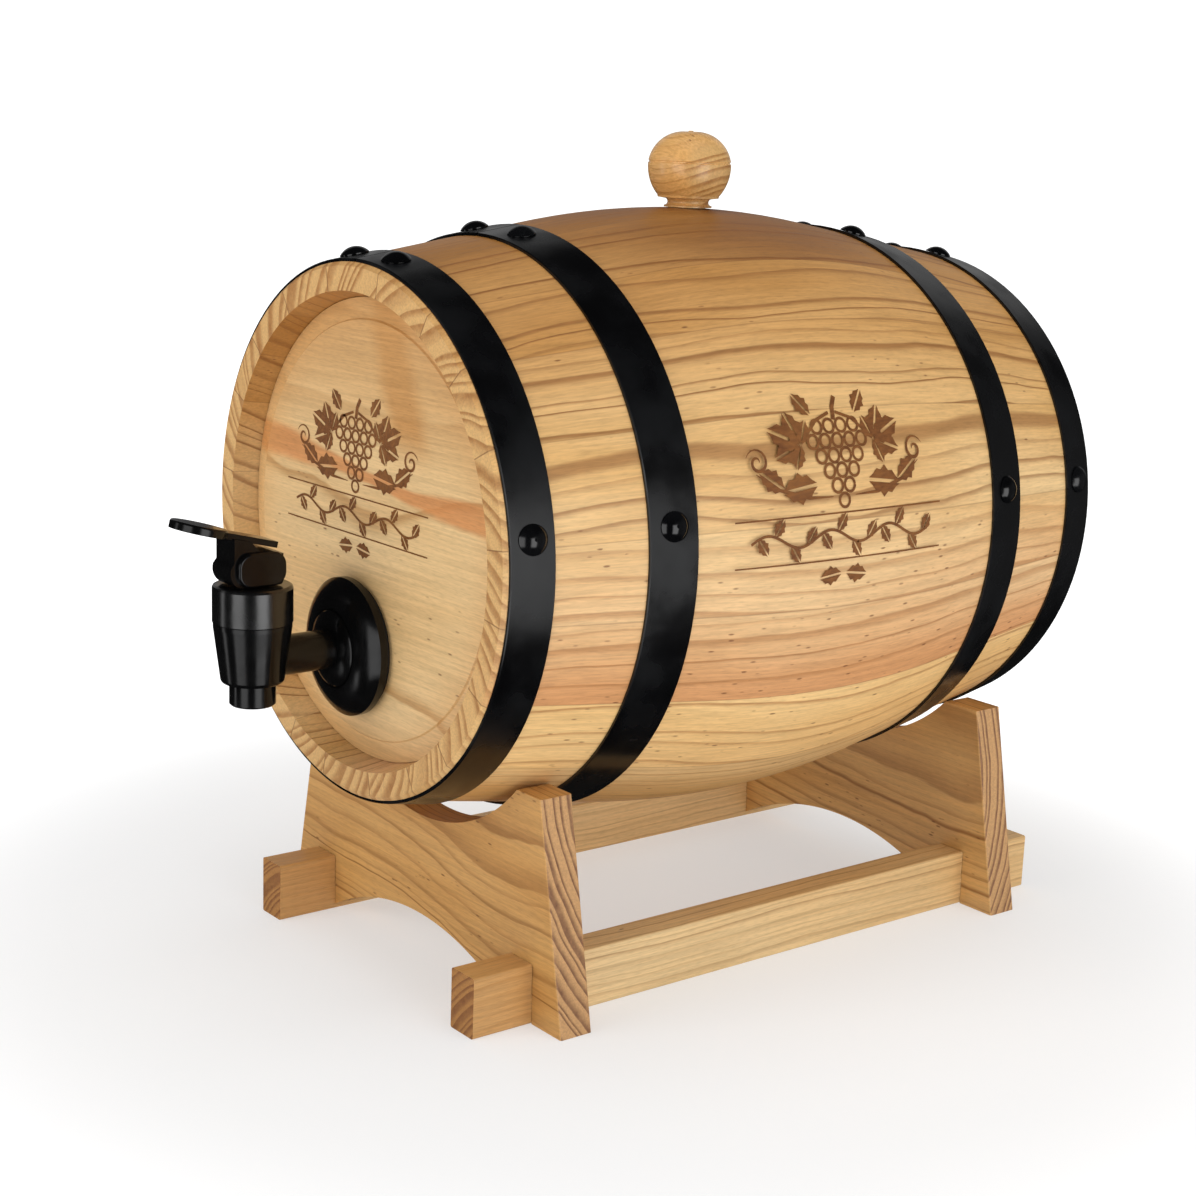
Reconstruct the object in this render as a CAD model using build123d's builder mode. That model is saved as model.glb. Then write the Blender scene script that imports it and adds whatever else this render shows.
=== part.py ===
"""A small wooden wine barrel lying on a four-piece stand, with a lever tap and a turned bung.

Millimetres, +Z up. The origin is on the floor, in the middle of the object's footprint. The
barrel's axis runs along Y and the tap is at the -Y end.
"""

import os
from math import cos, radians, sin, sqrt, tan

from build123d import *

os.makedirs("parts", exist_ok=True)

# Where the barrel lies.
BARREL_Y = 30.0
AXIS_Z = 166.0

# Barrel shell: a rounded middle that runs into straight cones at both ends.
HALF_LENGTH = 143.0
END_R = 95.0
CONE_SLOPE = radians(9.7)
BILGE_HALF = 57.0
STAVE_T = 13.0
RIM_CHAMFER = 1.2
CHIME_INNER_R = 85.2
RECESS_WALL_R = 83.0
STAVE_COUNT = 20
BUNG_STAVE_DEG = 21.0
WIDTH_SPREAD = 0.14

# Heads and the croze, the groove that holds them.
HEAD_FACE = 135.0
HEAD_T = 12.0
FIELD_R = 75.0
FIELD_STEP = 0.6
BORDER_DROP = 1.8
CROZE_OUTER = 132.2
CROZE_INNER = 126.0
CROZE_R = 87.1
TONGUE_R = 87.0

# Hoops and their domed tacks. Each hoop is a strip whose two ends meet on top of the barrel.
HOOPS = {"front_end_hoop": (-141.6, -125.6), "front_bilge_hoop": (-91.2, -72.8),
         "rear_bilge_hoop": (72.8, 91.2), "rear_end_hoop": (125.6, 141.6)}
HOOP_T = 1.1
HOOP_EASE = 0.3
HOOP_GAP = 0.05
HOOP_SLIT_DEG = 0.35
TACK_ANGLES = (-81.7, -7.9, 7.9, 81.7)
TACK_HEAD_R = 5.2
TACK_HEAD_H = 2.9
TACK_SHANK_R = 1.0
TACK_SHANK_LENGTH = 8.0
TACK_CLEARANCE = 0.05

# Bung, with its hole a little behind the middle of the top stave.
BUNG_Y = 7.0
BUNG_HOLE_R = 7.5
TENON_R = 6.6
TENON_BOTTOM = 97.0
SEAL_GROOVE_R = 5.3
SEAL_MINOR_R = 1.05
SEAL_Z = 108.0
BUNG_FLANGE_R = 9.2
BUNG_NECK_R = 7.9
KNOB_FOOT_R = 11.7
KNOB_R = 15.9
KNOB_TOP = 143.3
KNOB_GROOVE = 0.4
NUB_R = 0.8
NUB_H = 0.4

# Tap: a tapered body on a threaded shank, a screwed bonnet and a lever that rocks on it.
TAP_X = -8.0
TAP_Y = -176.8
SHANK_Z = -43.0
BODY_R = 13.8
BODY_FOOT_R = 11.3
BODY_TOP = -29.4
BODY_BOTTOM = -51.2
NECK_R = 12.0
NECK_TOP = -18.0
NOZZLE_R = 8.2
NOZZLE_BORE_R = 5.6
NOZZLE_END = -59.2
CHAMBER_R = 9.0
SEAT_Z = -47.4
BONNET_R = 14.1
BONNET_TOP = -15.9
SHANK_R = 7.2
THREAD_R = 7.9
THREAD_END = -108.0
PASSAGE_R = 4.2
SHOULDER_R = 13.9
SHOULDER_FRONT = -147.0
SHOULDER_BACK = -141.4
ESCUTCHEON_R = 25.3
ESCUTCHEON_FRONT = -144.9
ESCUTCHEON_RIM = 2.8
WASHER_T = 2.0
NUT_T = 7.0
NUT_FLATS = 24.0
HEAD_HOLE_R = 8.2

# Tap valve and lever.
STEM_R = 2.5
STEM_CLEARANCE = 0.1
STEM_EYE_R = 3.6
STEM_EYE_HALF = 3.0
PIN_Z = -8.5
PIN_R = 1.5
PIN_CLEARANCE = 0.06
PIN_START = -7.2
PIN_END = 6.0
CUP_R = 7.7
SLOT_HALF = 3.2
SLOT_PLAY = 1.9
CHEEK_HALF = 6.6
CHEEK_FRONT = -8.4
CHEEK_REAR = 8.4
CHEEK_TOP = -4.6
CHEEK_GAP = 0.3
COLUMN_FRONT = -10.6
COLUMN_REAR = -4.2
NOSE_FRONT = -12.2
NOSE_TOP = -6.8
EAR_HALF = 8.6
EAR_FRONT = -9.8
EAR_REAR = 8.8
EAR_TOP = -3.4
EAR_ROUND = 5.0
LEVER_TILT = radians(14.0)
LEVER_REAR = 6.4
LEVER_REAR_Z = -2.8
LEVER_T = 2.2
LEVER_HALF = 5.6
PADDLE_R = 10.0
PADDLE_T = 3.0
LEVER_LENGTH = 38.4

# Stand: two cradle boards halved over two rails.
STAND_SHIFT = 6.0
BOARD_OUTER = 117.0
BOARD_T = 13.6
BOARD_H = 83.0
FOOT_HALF = 91.0
HORN_HALF = 75.0
CRADLE_CLEARANCE = 0.3
CRADLE_DEPTH = 6.5
ARCH_HALF = 63.0
ARCH_H = 18.0
BOARD_EASE = 0.8
RAIL_X = 66.7
RAIL_W = 13.6
RAIL_H = 22.3
RAIL_HALF = 142.0
HALVING_Z = 11.0
JOINT_GAP = 0.2
RAIL_EASE = 0.8

BILGE_R = END_R + BILGE_HALF * tan(CONE_SLOPE / 2) + (HALF_LENGTH - BILGE_HALF) * tan(CONE_SLOPE)
ARC_R = BILGE_HALF / sin(CONE_SLOPE)
BARREL_AXIS = Axis((0, BARREL_Y, AXIS_Z), (0, 1, 0))


def outer_r(y):
    """The shell's outer radius at a distance y along the barrel from its middle."""
    y = abs(y)
    if y <= BILGE_HALF:
        return BILGE_R - ARC_R + sqrt(ARC_R**2 - y**2)
    return outer_r(BILGE_HALF) - (y - BILGE_HALF) * tan(CONE_SLOPE)


def radial_plane(angle):
    """A plane through the barrel's axis: x is the radius at this angle from the top, y runs rearward."""
    a = radians(angle)
    return Plane(origin=(0, BARREL_Y, AXIS_Z), x_dir=(sin(a), 0, cos(a)), z_dir=(-cos(a), 0, sin(a)))


def tack_axis(hoop, angle):
    """The point on a hoop's outer face where a tack sits, and the directions out and around there."""
    y = sum(HOOPS[hoop]) / 2
    a = radians(angle)
    r = outer_r(y) + HOOP_GAP + HOOP_T
    lean = CONE_SLOPE if y > 0 else -CONE_SLOPE
    point = Vector(r * sin(a), BARREL_Y + y, AXIS_Z + r * cos(a))
    out = Vector(cos(lean) * sin(a), sin(lean), cos(lean) * cos(a))
    around = Vector(cos(a), 0, -sin(a))
    return point, out, around


def stave_spans():
    """The start and width of each stave in degrees from the top; the bung stave is the widest."""
    shares = [1 + WIDTH_SPREAD * sin(2.1 * i) for i in range(1, STAVE_COUNT)]
    spans = [(-BUNG_STAVE_DEG / 2, BUNG_STAVE_DEG)]
    start = BUNG_STAVE_DEG / 2
    for share in shares:
        width = (360 - BUNG_STAVE_DEG) * share / sum(shares)
        spans.append((start, width))
        start += width
    return spans


def save(builder, name):
    builder.part.label = name
    export_step(builder.part, f"parts/{name}.step")


# Staves: one profile turned through each stave's share of the circle.
for number, (start, width) in enumerate(stave_spans(), 1):
    with BuildPart() as stave:
        with BuildSketch(radial_plane(start)):
            with BuildLine():
                chamfer_r = outer_r(HALF_LENGTH - RIM_CHAMFER)
                bilge_edge_r = outer_r(BILGE_HALF)
                inner_end_r = outer_r(CROZE_INNER) - STAVE_T
                Polyline((END_R - RIM_CHAMFER, -HALF_LENGTH), (chamfer_r, RIM_CHAMFER - HALF_LENGTH),
                         (bilge_edge_r, -BILGE_HALF))
                ThreePointArc((bilge_edge_r, -BILGE_HALF), (BILGE_R, 0), (bilge_edge_r, BILGE_HALF))
                Polyline((bilge_edge_r, BILGE_HALF), (chamfer_r, HALF_LENGTH - RIM_CHAMFER),
                         (END_R - RIM_CHAMFER, HALF_LENGTH), (CHIME_INNER_R, HALF_LENGTH),
                         (RECESS_WALL_R, CROZE_OUTER), (CROZE_R, CROZE_OUTER), (CROZE_R, CROZE_INNER),
                         (inner_end_r, CROZE_INNER), (bilge_edge_r - STAVE_T, BILGE_HALF))
                ThreePointArc((bilge_edge_r - STAVE_T, BILGE_HALF), (BILGE_R - STAVE_T, 0),
                              (bilge_edge_r - STAVE_T, -BILGE_HALF))
                Polyline((bilge_edge_r - STAVE_T, -BILGE_HALF), (inner_end_r, -CROZE_INNER),
                         (CROZE_R, -CROZE_INNER), (CROZE_R, -CROZE_OUTER),
                         (RECESS_WALL_R, -CROZE_OUTER), (CHIME_INNER_R, -HALF_LENGTH),
                         (END_R - RIM_CHAMFER, -HALF_LENGTH))
            make_face()
        revolve(axis=BARREL_AXIS, revolution_arc=width)
        for hoop in HOOPS:
            for angle in TACK_ANGLES:
                if start < angle < start + width or start < angle + 360 < start + width:
                    point, out, around = tack_axis(hoop, angle)
                    with BuildSketch(Plane(origin=point, x_dir=around, z_dir=out)):
                        Circle(TACK_SHANK_R + TACK_CLEARANCE)
                    extrude(amount=-TACK_SHANK_LENGTH - HOOP_T, mode=Mode.SUBTRACT)
        if number == 1:
            with BuildSketch(Plane.XY.offset(AXIS_Z)):
                with Locations((0, BARREL_Y + BUNG_Y)):
                    Circle(BUNG_HOLE_R)
            extrude(amount=BILGE_R + STAVE_T, mode=Mode.SUBTRACT)
    save(stave, f"stave_{number:02d}")

# Heads: discs with a raised field, a falling border and a thin tongue in the croze.
for name, side in (("front_head", -1), ("rear_head", 1)):
    with BuildPart() as head:
        with BuildSketch(radial_plane(0)):
            with BuildLine():
                inner_face = HEAD_FACE - HEAD_T
                Polyline((0, side * inner_face), (RECESS_WALL_R - 4, side * inner_face),
                         (RECESS_WALL_R - 0.1, side * CROZE_INNER), (TONGUE_R, side * CROZE_INNER),
                         (TONGUE_R, side * CROZE_OUTER), (RECESS_WALL_R - 0.1, side * CROZE_OUTER),
                         (RECESS_WALL_R - 0.1, side * (HEAD_FACE - BORDER_DROP)),
                         (FIELD_R + FIELD_STEP, side * (HEAD_FACE - FIELD_STEP)),
                         (FIELD_R, side * HEAD_FACE), (0, side * HEAD_FACE), (0, side * inner_face))
            make_face()
        revolve(axis=BARREL_AXIS)
        if name == "front_head":
            with BuildSketch(Plane.XZ.offset(-BARREL_Y + HEAD_FACE + HEAD_T)):
                with Locations((TAP_X, AXIS_Z + SHANK_Z)):
                    Circle(HEAD_HOLE_R)
            extrude(amount=-3 * HEAD_T, mode=Mode.SUBTRACT)
    save(head, name)

# Hoops: conical strips, open at the slit on top where their ends meet.
for name, (y_low, y_high) in HOOPS.items():
    with BuildPart() as hoop:
        with BuildSketch(radial_plane(HOOP_SLIT_DEG / 2)):
            with BuildLine():
                low = outer_r(y_low) + HOOP_GAP
                high = outer_r(y_high) + HOOP_GAP
                Polyline((low, y_low), (high, y_high), (high + HOOP_T - HOOP_EASE, y_high),
                         (outer_r(y_high - HOOP_EASE) + HOOP_GAP + HOOP_T, y_high - HOOP_EASE),
                         (outer_r(y_low + HOOP_EASE) + HOOP_GAP + HOOP_T, y_low + HOOP_EASE),
                         (low + HOOP_T - HOOP_EASE, y_low), (low, y_low))
            make_face()
        revolve(axis=BARREL_AXIS, revolution_arc=360 - HOOP_SLIT_DEG)
        for angle in TACK_ANGLES:
            point, out, around = tack_axis(name, angle)
            with BuildSketch(Plane(origin=point, x_dir=around, z_dir=out)):
                Circle(TACK_SHANK_R + TACK_CLEARANCE)
            extrude(amount=-2 * HOOP_T, both=True, mode=Mode.SUBTRACT)
    save(hoop, name)

# Tacks: four in each hoop, a domed head on a plain pointed shank.
for name in HOOPS:
    with BuildPart() as tacks:
        for angle in TACK_ANGLES:
            point, out, around = tack_axis(name, angle)
            with BuildSketch(Plane(origin=point, x_dir=around, z_dir=around.cross(out))):
                with BuildLine():
                    Polyline((0, TACK_HEAD_H), (0, -TACK_SHANK_LENGTH), (0.3, -TACK_SHANK_LENGTH),
                             (TACK_SHANK_R, 2 - TACK_SHANK_LENGTH), (TACK_SHANK_R, 0.02),
                             (TACK_HEAD_R, 0.02), (TACK_HEAD_R, 0.4))
                    TangentArc((0, TACK_HEAD_H), (TACK_HEAD_R, 0.4), tangent=(1, 0))
                make_face()
            revolve(axis=Axis(point, out))
    save(tacks, f"{name}_tacks")

# Bung: a turned knob on a tenon, with a sealing ring in the tenon's groove.
BUNG_PLANE = Plane(origin=(0, BARREL_Y + BUNG_Y, AXIS_Z), x_dir=(1, 0, 0), z_dir=(0, -1, 0))
BUNG_AXIS = Axis((0, BARREL_Y + BUNG_Y, AXIS_Z), (0, 0, 1))
BUNG_SEAT = BILGE_R + 0.1
KNOB_MIDDLE = BUNG_SEAT + 16.4
with BuildPart() as bung_knob:
    with BuildSketch(BUNG_PLANE):
        with BuildLine():
            groove_low = SEAL_Z - SEAL_MINOR_R
            groove_high = SEAL_Z + SEAL_MINOR_R
            Polyline((0, KNOB_TOP), (0, TENON_BOTTOM), (TENON_R - 0.8, TENON_BOTTOM),
                     (TENON_R, TENON_BOTTOM + 1.5), (TENON_R, groove_low), (SEAL_GROOVE_R, groove_low),
                     (SEAL_GROOVE_R, groove_high), (TENON_R, groove_high), (TENON_R, BUNG_SEAT),
                     (BUNG_FLANGE_R, BUNG_SEAT), (BUNG_FLANGE_R, BUNG_SEAT + 0.6))
            ThreePointArc((BUNG_FLANGE_R, BUNG_SEAT + 0.6), (BUNG_NECK_R, BUNG_SEAT + 1.9),
                          (BUNG_NECK_R + 0.9, BUNG_SEAT + 3.2))
            Polyline((BUNG_NECK_R + 0.9, BUNG_SEAT + 3.2), (KNOB_FOOT_R, BUNG_SEAT + 3.6),
                     (KNOB_FOOT_R + 0.2, BUNG_SEAT + 4.4))
            ThreePointArc((KNOB_FOOT_R + 0.2, BUNG_SEAT + 4.4), (KNOB_R - 1.0, BUNG_SEAT + 9.6),
                          (KNOB_R, KNOB_MIDDLE))
            Polyline((KNOB_R, KNOB_MIDDLE), (KNOB_R - KNOB_GROOVE, KNOB_MIDDLE + 0.3),
                     (KNOB_R - KNOB_GROOVE, KNOB_MIDDLE + 0.7), (KNOB_R - 0.1, KNOB_MIDDLE + 1.0))
            ThreePointArc((KNOB_R - 0.1, KNOB_MIDDLE + 1.0), (0.72 * KNOB_R, KNOB_TOP - 3.7),
                          (NUB_R + 0.3, KNOB_TOP - NUB_H))
            Polyline((NUB_R + 0.3, KNOB_TOP - NUB_H), (NUB_R, KNOB_TOP), (0, KNOB_TOP))
        make_face()
    revolve(axis=BUNG_AXIS)
save(bung_knob, "bung_knob")

with BuildPart() as bung_seal:
    with BuildSketch(BUNG_PLANE):
        with Locations((SEAL_GROOVE_R + 0.05 + SEAL_MINOR_R, SEAL_Z)):
            Circle(SEAL_MINOR_R)
    revolve(axis=BUNG_AXIS)
save(bung_seal, "bung_seal")

# Tap body: a tapered hollow body, a nozzle below and a threaded shank through the head.
TAP_POINT = (TAP_X, BARREL_Y + TAP_Y, AXIS_Z)
TAP_PLANE = Plane(origin=TAP_POINT, x_dir=(1, 0, 0), z_dir=(0, -1, 0))
TAP_AXIS = Axis(TAP_POINT, (0, 0, 1))
SHANK_POINT = (TAP_X, BARREL_Y, AXIS_Z + SHANK_Z)
SHANK_PLANE = Plane(origin=SHANK_POINT, x_dir=(1, 0, 0), z_dir=(0, 0, 1))
SHANK_AXIS = Axis(SHANK_POINT, (0, 1, 0))
with BuildPart() as tap_body:
    with BuildSketch(TAP_PLANE):
        with BuildLine():
            Polyline((0, NECK_TOP), (NECK_R, NECK_TOP), (NECK_R, BODY_TOP), (BODY_R, BODY_TOP),
                     (BODY_R, BODY_TOP - 1.5), (BODY_FOOT_R, BODY_BOTTOM + 1.6))
            RadiusArc((BODY_FOOT_R, BODY_BOTTOM + 1.6), (BODY_FOOT_R - 1.6, BODY_BOTTOM), 1.8)
            Polyline((BODY_FOOT_R - 1.6, BODY_BOTTOM), (NOZZLE_R, BODY_BOTTOM),
                     (NOZZLE_R, NOZZLE_END + 0.6), (NOZZLE_R - 0.6, NOZZLE_END), (0, NOZZLE_END),
                     (0, NECK_TOP))
        make_face()
    revolve(axis=TAP_AXIS)
    with BuildSketch(SHANK_PLANE):
        with BuildLine():
            Polyline((0, TAP_Y), (SHANK_R, TAP_Y), (SHANK_R, SHOULDER_FRONT))
            ThreePointArc((SHANK_R, SHOULDER_FRONT), (11.0, SHOULDER_FRONT + 0.6),
                          (SHOULDER_R - 0.4, SHOULDER_FRONT + 1.7))
            Polyline((SHOULDER_R - 0.4, SHOULDER_FRONT + 1.7), (SHOULDER_R, SHOULDER_FRONT + 2.1),
                     (SHOULDER_R, SHOULDER_BACK), (THREAD_R, SHOULDER_BACK), (THREAD_R, THREAD_END - 1),
                     (THREAD_R - 1, THREAD_END), (0, THREAD_END), (0, TAP_Y))
        make_face()
    revolve(axis=SHANK_AXIS)
    with BuildSketch(TAP_PLANE):
        with BuildLine():
            Polyline((0, NECK_TOP), (CHAMBER_R, NECK_TOP), (CHAMBER_R, SEAT_Z), (NOZZLE_BORE_R, SEAT_Z),
                     (NOZZLE_BORE_R, NOZZLE_END), (0, NOZZLE_END), (0, NECK_TOP))
        make_face()
    revolve(axis=TAP_AXIS, mode=Mode.SUBTRACT)
    with BuildSketch(Plane.XZ.offset(-BARREL_Y - THREAD_END)):
        with Locations((TAP_X, AXIS_Z + SHANK_Z)):
            Circle(PASSAGE_R)
    extrude(amount=THREAD_END - TAP_Y - CHAMBER_R + 1.2, mode=Mode.SUBTRACT)
save(tap_body, "tap_body")

# Bonnet: a cap screwed over the body's neck, with a hole for the stem.
with BuildPart() as tap_bonnet:
    with BuildSketch(TAP_PLANE):
        with BuildLine():
            Polyline((STEM_R + STEM_CLEARANCE, BONNET_TOP), (BONNET_R - 1.0, BONNET_TOP),
                     (BONNET_R - 0.3, BONNET_TOP - 0.4), (BONNET_R, BONNET_TOP - 1.1),
                     (BONNET_R, BODY_TOP + 0.4), (BONNET_R - 0.4, BODY_TOP), (NECK_R + 0.05, BODY_TOP),
                     (NECK_R + 0.05, NECK_TOP), (STEM_R + STEM_CLEARANCE, NECK_TOP),
                     (STEM_R + STEM_CLEARANCE, BONNET_TOP))
        make_face()
    revolve(axis=TAP_AXIS)
save(tap_bonnet, "tap_bonnet")

# What clamps the tap to the head: a domed escutcheon and two washers, with a nut inside.
with BuildPart() as tap_escutcheon:
    with BuildSketch(SHANK_PLANE):
        back = -HEAD_FACE - WASHER_T
        with BuildLine():
            Polyline((THREAD_R + 0.1, SHOULDER_BACK), (SHOULDER_R + 0.2, SHOULDER_BACK),
                     (SHOULDER_R + 0.2, ESCUTCHEON_FRONT + 0.4), (SHOULDER_R + 0.6, ESCUTCHEON_FRONT))
            ThreePointArc((SHOULDER_R + 0.6, ESCUTCHEON_FRONT), (20.8, ESCUTCHEON_FRONT + 1.7),
                          (ESCUTCHEON_R, back - ESCUTCHEON_RIM))
            Polyline((ESCUTCHEON_R, back - ESCUTCHEON_RIM), (ESCUTCHEON_R, back),
                     (THREAD_R + 0.1, back), (THREAD_R + 0.1, SHOULDER_BACK))
        make_face()
    revolve(axis=SHANK_AXIS)
save(tap_escutcheon, "tap_escutcheon")

WASHERS = {"outer_tap_washer": (-HEAD_FACE - WASHER_T, 23.5), "inner_tap_washer": (HEAD_T - HEAD_FACE, 13.5)}
for name, (y_start, washer_r) in WASHERS.items():
    with BuildPart() as washer:
        with BuildSketch(Plane.XZ.offset(-BARREL_Y - y_start)):
            with Locations((TAP_X, AXIS_Z + SHANK_Z)):
                Circle(washer_r)
                Circle(THREAD_R + 0.1, mode=Mode.SUBTRACT)
        extrude(amount=-WASHER_T)
    save(washer, name)

with BuildPart() as tap_nut:
    nut_start = HEAD_T - HEAD_FACE + WASHER_T
    with BuildSketch(Plane.XZ.offset(-BARREL_Y - nut_start)):
        with Locations((TAP_X, AXIS_Z + SHANK_Z)):
            RegularPolygon(NUT_FLATS / 2, 6, major_radius=False)
            Circle(THREAD_R + 0.05, mode=Mode.SUBTRACT)
    extrude(amount=-NUT_T)
save(tap_nut, "tap_nut")

# Valve: the stem with its eye, the pin through the eye and the silicone cup that closes the seat.
SIDE_PLANE = Plane(origin=TAP_POINT, x_dir=(0, 1, 0), z_dir=(1, 0, 0))
with BuildPart() as valve_stem:
    with BuildSketch(TAP_PLANE):
        with BuildLine():
            Polyline((0, PIN_Z), (STEM_R, PIN_Z), (STEM_R, SEAT_Z + 4.2), (4.4, SEAT_Z + 4.2),
                     (4.4, SEAT_Z + 2.4), (0, SEAT_Z + 2.4), (0, PIN_Z))
        make_face()
    revolve(axis=TAP_AXIS)
    with BuildSketch(SIDE_PLANE):
        with Locations((0, PIN_Z)):
            Circle(STEM_EYE_R)
        with Locations((0, PIN_Z - STEM_EYE_R / 2)):
            Rectangle(2 * STEM_EYE_R, STEM_EYE_R)
    extrude(amount=STEM_EYE_HALF, both=True)
    with BuildSketch(SIDE_PLANE):
        with Locations((0, PIN_Z)):
            Circle(PIN_R)
    extrude(amount=2 * STEM_EYE_HALF, both=True, mode=Mode.SUBTRACT)
save(valve_stem, "valve_stem")

with BuildPart() as lever_pin:
    with BuildSketch(SIDE_PLANE.offset(PIN_START)):
        with Locations((0, PIN_Z)):
            Circle(PIN_R)
    extrude(amount=PIN_END - PIN_START)
    chamfer(lever_pin.edges().filter_by(GeomType.CIRCLE), 0.3)
save(lever_pin, "lever_pin")

with BuildPart() as seat_cup:
    with BuildSketch(TAP_PLANE):
        with BuildLine():
            Polyline((0, SEAT_Z + 2.4), (4.4, SEAT_Z + 2.4), (4.4, SEAT_Z + 4.2), (STEM_R, SEAT_Z + 4.2),
                     (STEM_R, SEAT_Z + 6.4), (CUP_R - 1.4, SEAT_Z + 6.4), (CUP_R, SEAT_Z + 5.0),
                     (CUP_R, SEAT_Z + 0.1), (NOZZLE_BORE_R - 0.3, SEAT_Z + 0.1), (2.0, SEAT_Z - 1.6),
                     (0, SEAT_Z - 1.6), (0, SEAT_Z + 2.4))
        make_face()
    revolve(axis=TAP_AXIS)
save(seat_cup, "seat_cup")

# Lever: a round paddle on a plate that rises forward, and under it a column and a slotted block with a
# rounded nose and two rounded ears. The pin's hole is open on the left only.
LEVER_PLANE = Plane(
    origin=(TAP_X, BARREL_Y + TAP_Y + LEVER_REAR, AXIS_Z + LEVER_REAR_Z),
    x_dir=(1, 0, 0),
    z_dir=(0, sin(LEVER_TILT), cos(LEVER_TILT)),
)
CHEEK_BOTTOM = BONNET_TOP + CHEEK_GAP


def plate_z(y):
    """Height of the plate's underside at a distance y in front of or behind the tap's axis."""
    return LEVER_REAR_Z + (LEVER_REAR - y) * tan(LEVER_TILT)


with BuildPart() as tap_lever:
    with BuildSketch(LEVER_PLANE):
        with Locations((0, PADDLE_R - LEVER_LENGTH)):
            Circle(PADDLE_R)
    extrude(amount=PADDLE_T)
    fillet(tap_lever.edges().group_by(Axis.Z)[-1], 0.8)
    with BuildSketch(LEVER_PLANE):
        with Locations((0, (PADDLE_R - LEVER_LENGTH) / 2)):
            Rectangle(2 * LEVER_HALF, LEVER_LENGTH - PADDLE_R)
    extrude(amount=LEVER_T)
    with BuildSketch(SIDE_PLANE):
        with BuildLine():
            Polyline((CHEEK_FRONT, CHEEK_BOTTOM), (CHEEK_REAR - 1.4, CHEEK_BOTTOM))
            RadiusArc((CHEEK_REAR - 1.4, CHEEK_BOTTOM), (CHEEK_REAR, CHEEK_BOTTOM + 1.4), -1.4)
            Polyline((CHEEK_REAR, CHEEK_BOTTOM + 1.4), (CHEEK_REAR, CHEEK_TOP), (0.6, CHEEK_TOP),
                     (COLUMN_REAR, plate_z(COLUMN_REAR) + 0.5), (COLUMN_FRONT, plate_z(COLUMN_FRONT) + 0.5),
                     (COLUMN_FRONT, NOSE_TOP), (NOSE_FRONT + 0.3, NOSE_TOP - 1.6))
            ThreePointArc((NOSE_FRONT + 0.3, NOSE_TOP - 1.6), (NOSE_FRONT + 0.3, NOSE_TOP - 5.0),
                          (CHEEK_FRONT, CHEEK_BOTTOM))
        make_face()
    extrude(amount=CHEEK_HALF, both=True)
    with BuildSketch(SIDE_PLANE):
        with Locations(((EAR_FRONT + EAR_REAR) / 2, (EAR_TOP + CHEEK_BOTTOM) / 2)):
            RectangleRounded(EAR_REAR - EAR_FRONT, EAR_TOP - CHEEK_BOTTOM, EAR_ROUND)
    extrude(amount=EAR_HALF, both=True)
    for side in (0, -1):
        fillet(tap_lever.faces().filter_by(Axis.X).sort_by(Axis.X)[side].edges(), 0.9)
    with BuildSketch(SIDE_PLANE):
        with Locations((0, CHEEK_BOTTOM)):
            Rectangle(2 * (STEM_EYE_R + SLOT_PLAY), 2 * (PIN_Z + STEM_EYE_R + 0.5 - CHEEK_BOTTOM))
    extrude(amount=SLOT_HALF, both=True, mode=Mode.SUBTRACT)
    with BuildSketch(SIDE_PLANE.offset(-2 * EAR_HALF)):
        with Locations((0, PIN_Z)):
            Circle(PIN_R + PIN_CLEARANCE)
    extrude(amount=2 * EAR_HALF + PIN_END + 0.1, mode=Mode.SUBTRACT)
save(tap_lever, "tap_lever")

# Cradle boards: feet and an arch below, a cradle between two horns above.
BOARD_PLACES = {
    "front_cradle_board": STAND_SHIFT - BOARD_OUTER,
    "rear_cradle_board": STAND_SHIFT + BOARD_OUTER - BOARD_T,
}
for name, y_low in BOARD_PLACES.items():
    widest_r = max(outer_r(y_low), outer_r(y_low + BOARD_T))
    horn_in = sqrt((widest_r + CRADLE_CLEARANCE) ** 2 - (AXIS_Z - BOARD_H) ** 2)
    with BuildPart() as board:
        with BuildSketch(Plane.XZ.offset(-BARREL_Y - y_low)):
            with BuildLine():
                Polyline((ARCH_HALF, 0), (FOOT_HALF, 0), (HORN_HALF, BOARD_H), (horn_in, BOARD_H))
                ThreePointArc((horn_in, BOARD_H), (0, AXIS_Z - widest_r - CRADLE_DEPTH), (-horn_in, BOARD_H))
                Polyline((-horn_in, BOARD_H), (-HORN_HALF, BOARD_H), (-FOOT_HALF, 0), (-ARCH_HALF, 0))
                ThreePointArc((-ARCH_HALF, 0), (0, ARCH_H), (ARCH_HALF, 0))
            make_face()
            with Locations((-RAIL_X, 0), (RAIL_X, 0)):
                Rectangle(RAIL_W + 2 * JOINT_GAP, 2 * HALVING_Z, mode=Mode.SUBTRACT)
        extrude(amount=-BOARD_T)
        side_faces = board.faces().filter_by(lambda f: abs(f.normal_at().X) > 0.9).filter_by(
            lambda f: f.area > BOARD_T * BOARD_H * 0.9)
        fillet(side_faces.edges().filter_by(Axis.Y, reverse=True), BOARD_EASE)
    save(board, name)

# Rails: notched from above where the boards cross them.
for name, x in (("left_rail", -RAIL_X), ("right_rail", RAIL_X)):
    with BuildPart() as rail:
        with BuildSketch(Plane.XY):
            with Locations((x, BARREL_Y + STAND_SHIFT)):
                Rectangle(RAIL_W, 2 * RAIL_HALF)
        extrude(amount=RAIL_H)
        fillet(rail.edges().filter_by(Axis.Y), RAIL_EASE)
        for y_low in BOARD_PLACES.values():
            with BuildSketch(Plane.XY.offset(HALVING_Z)):
                with Locations((x, BARREL_Y + y_low + BOARD_T / 2)):
                    Rectangle(2 * RAIL_W, BOARD_T + 2 * JOINT_GAP)
            extrude(amount=RAIL_H, mode=Mode.SUBTRACT)
    save(rail, name)
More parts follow.
